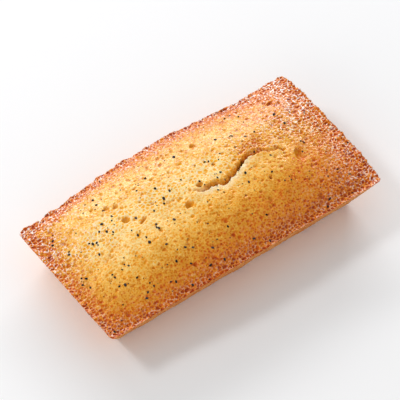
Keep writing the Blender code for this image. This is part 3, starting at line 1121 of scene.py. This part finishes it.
def dropped_points(tree, crust, loose):
    """The placed points, dropped onto the crust."""
    down = add_node(
        tree,
        "GeometryNodeRaycast",
        {"Target Geometry": crust, "Ray Direction": (0, 0, -1), "Ray Length": RAY_LENGTH},
    )
    landing = {"Geometry": loose, "Position": down.outputs["Hit Position"]}
    dropped = add_node(tree, "GeometryNodeSetPosition", landing).outputs[0]
    return add_node(tree, "GeometryNodeMeshToPoints", {"Mesh": dropped}).outputs[0]


def drawn_points(tree, crust, given):
    """Points drawn over the crust, fewer where it is browned, each with its shard's length."""
    thinner = ranged(tree, stored(tree, "browning"), 0.0, 1.0, 1.0, BROWNED_DENSITY)
    dense = product(tree, stored(tree, "open"), thinner, given["Per square metre"])
    drawn = add_node(
        tree,
        "GeometryNodeDistributePointsOnFaces",
        {"Mesh": crust, "Density": dense, "Seed": given["Seed"]},
    )
    size = add_node(tree, "FunctionNodeRandomValue", {"Seed": given["Seed"]}, data_type="FLOAT")
    small_ones = reckoned(tree, "POWER", size.outputs[1], MOSTLY_SMALL)
    length = ranged(tree, small_ones, 0.0, 1.0, given["Shortest"], given["Longest"])
    sized = add_node(
        tree,
        "GeometryNodeStoreNamedAttribute",
        {"Geometry": drawn.outputs["Points"], "Name": "length", "Value": length},
        data_type="FLOAT",
        domain="POINT",
    )
    return sized.outputs[0]


# %% Shards on the points
SHARD_TILT = 0.25
WHOLE_TURN = 6.28
SHARD_JAG = 0.35 * MM
JAG_SIZE = 0.4 * MM
TONE_SEED = 5


def laid_flat(tree, crust, seed):
    """A turn that lays each shard on the crust, with a little tilt and any heading."""
    facing = add_node(
        tree,
        "GeometryNodeSampleNearestSurface",
        {"Mesh": crust, "Value": add_node(tree, "GeometryNodeInputNormal").outputs[0]},
        data_type="FLOAT_VECTOR",
    )
    upright = {"Vector": facing.outputs["Value"]}
    lie = add_node(tree, "FunctionNodeAlignRotationToVector", upright, axis="Z").outputs[0]
    low, high = (-SHARD_TILT, -SHARD_TILT, 0.0), (SHARD_TILT, SHARD_TILT, WHOLE_TURN)
    drawn_turn = {0: low, 1: high, "Seed": seed}
    spin = add_node(tree, "FunctionNodeRandomValue", drawn_turn, data_type="FLOAT_VECTOR")
    turns = {0: lie, 1: spin.outputs[0]}
    turned = add_node(tree, "FunctionNodeRotateRotation", turns, rotation_space="LOCAL")
    return turned.outputs[0]


def scatter_tree():
    """Lays a ragged shard on every point, placed or drawn."""
    tree, given = new_tree(
        "Shards on the crust",
        {
            "Geometry": "Geometry",
            "Crust": "Object",
            "Per square metre": "Float",
            "Shortest": "Float",
            "Longest": "Float",
            "Width share": "Float",
            "Thickness share": "Float",
            "Seed": "Int",
            "Material": "Material",
        },
    )
    crust = add_node(tree, "GeometryNodeObjectInfo", {"Object": given["Crust"]}).outputs["Geometry"]
    every = add_node(tree, "GeometryNodeJoinGeometry")
    tree.links.new(drawn_points(tree, crust, given), every.inputs[0])
    tree.links.new(dropped_points(tree, crust, given["Geometry"]), every.inputs[0])
    shard = add_node(tree, "GeometryNodeMeshIcoSphere", {"Radius": 0.5, "Subdivisions": 1})
    shares = {0: 1.0, 1: given["Width share"], 2: given["Thickness share"]}
    sides = add_node(tree, "ShaderNodeCombineXYZ", shares).outputs[0]
    shards = add_node(
        tree,
        "GeometryNodeInstanceOnPoints",
        {
            "Points": every.outputs[0],
            "Instance": shard.outputs[0],
            "Rotation": laid_flat(tree, crust, given["Seed"]),
            "Scale": vector_sum(tree, "SCALE", sides, stored(tree, "length")),
        },
    )
    tone = add_node(tree, "FunctionNodeRandomValue", {"Seed": TONE_SEED}, data_type="FLOAT")
    toned = add_node(
        tree,
        "GeometryNodeStoreNamedAttribute",
        {"Geometry": shards.outputs[0], "Name": "shade", "Value": tone.outputs[1]},
        data_type="FLOAT",
        domain="INSTANCE",
    )
    corner = add_node(tree, "GeometryNodeInputPosition").outputs[0]
    steps = (
        ("GeometryNodeRealizeInstances", {}),
        ("GeometryNodeSetPosition", {"Offset": soft_push(tree, corner, JAG_SIZE, SHARD_JAG)}),
        ("GeometryNodeSetMaterial", {"Material": given["Material"]}),
    )
    add_node(tree, "NodeGroupOutput", {"Geometry": passed_through(tree, toned.outputs[0], steps)})
    return tree


# %% Scatter the tea
tea_flecks = new_object("tea_flecks", placed_points())
shaped_by(
    scatter_tree(),
    tea_flecks,
    {
        "Crust": cake,
        "Per square metre": 110000.0,
        "Shortest": 0.35 * MM,
        "Longest": 1.05 * MM,
        "Width share": 0.7,
        "Thickness share": 0.45,
        "Seed": 3,
        "Material": tea_leaf,
    },
)
print("tea flecks:", len(tea_flecks.data.polygons), "faces")

# %% [markdown]
# ## The floor, the light and the camera
#
# The floor is plain and pale. The light is that of a table by a window: a long low window and a small
# high one behind the cake make the far slope glow, and a large soft card at the near left opens up
# the near slope and the left end. The camera looks down at about 53 degrees across the near left
# corner, from a metre away through a long lens.

# %% Floor
floor_mesh = bpy.data.meshes.new("pale_floor")
floor_shape = bmesh.new()
bmesh.ops.create_grid(floor_shape, x_segments=1, y_segments=1, size=2.0)
floor_shape.to_mesh(floor_mesh)
floor_shape.free()
floor = new_object("pale_floor", floor_mesh)
paper, paper_tree = new_material("matt_white_paper")
paper_finish = {"Base Color": linear("#F6F6F6"), "Roughness": 0.9}
set_inputs(paper_tree, paper_tree.nodes["Principled BSDF"], paper_finish)
floor_mesh.materials.append(paper)

# %% Light
DAYLIGHT = "#FBFCFF"
CARD_WHITE = "#FFFDFA"


def soft_light(name, place, size, watts, colour):
    """An area light of this width and height that faces the cake."""
    data = bpy.data.lights.new(name, "AREA")
    data.shape = "RECTANGLE"
    data.size, data.size_y = size
    data.energy = watts
    data.color = linear(colour)[:3]
    light = new_object(name, data)
    light.location = place
    light.rotation_euler = (-Vector(place)).to_track_quat("-Z", "Y").to_euler()


soft_light("window", (0.435, 0.819, 0.375), (1.1, 0.14), 8.1, DAYLIGHT)
soft_light("high_window", (-0.450, 0.550, 0.704), (0.25, 0.2), 2.6, DAYLIGHT)
soft_light("near_card", (-0.790, -0.495, 0.358), (1.2, 0.5), 2.6, CARD_WHITE)

world = bpy.data.worlds.new("bright_room")
world.use_nodes = True
room_light = {"Color": (1.0, 1.0, 1.0, 1.0), "Strength": 0.52}
set_inputs(world.node_tree, world.node_tree.nodes["Background"], room_light)
bpy.context.scene.world = world
bpy.context.scene.view_settings.view_transform = "Standard"

# %% Camera
CAMERA_TURN = math.radians(36.176)
CAMERA_TILT = math.radians(53.087)
CAMERA_DISTANCE = 1.0
PIXELS_PER_METRE = 3952.0  # at the middle of the mould, in a picture 400 pixels wide
ORIGIN_PIXEL = (198.363, 231.72)  # where that middle shows
PICTURE = 400
SENSOR = 36.0

right = Vector((math.cos(CAMERA_TURN), -math.sin(CAMERA_TURN), 0))
back = Vector(
    (
        -math.sin(CAMERA_TURN) * math.cos(CAMERA_TILT),
        -math.cos(CAMERA_TURN) * math.cos(CAMERA_TILT),
        math.sin(CAMERA_TILT),
    )
)
up = back.cross(right)
mould_middle = Vector((*MOULD_MIDDLE, 0))
aside = (PICTURE / 2 - ORIGIN_PIXEL[0]) / PIXELS_PER_METRE
above = (ORIGIN_PIXEL[1] - PICTURE / 2) / PIXELS_PER_METRE
camera_data = bpy.data.cameras.new("camera")
camera_data.sensor_width = SENSOR
camera_data.lens = SENSOR * PIXELS_PER_METRE * CAMERA_DISTANCE / PICTURE
camera_data.clip_start, camera_data.clip_end = 0.05, 20.0
camera = new_object("camera", camera_data)
camera.location = mould_middle + back * CAMERA_DISTANCE
aim = mould_middle + right * aside + up * above
camera.rotation_euler = (aim - camera.location).to_track_quat("-Z", "Y").to_euler()
bpy.context.scene.camera = camera
print("lens, mm:", round(camera_data.lens))

# %% [markdown]
# ## Fit the pieces to the frame
#
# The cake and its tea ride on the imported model's one body, and the cake stands for the plain solid.

# %% Hand the pieces over
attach(cake, "root")
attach(tea_flecks, "root")
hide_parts("financier")
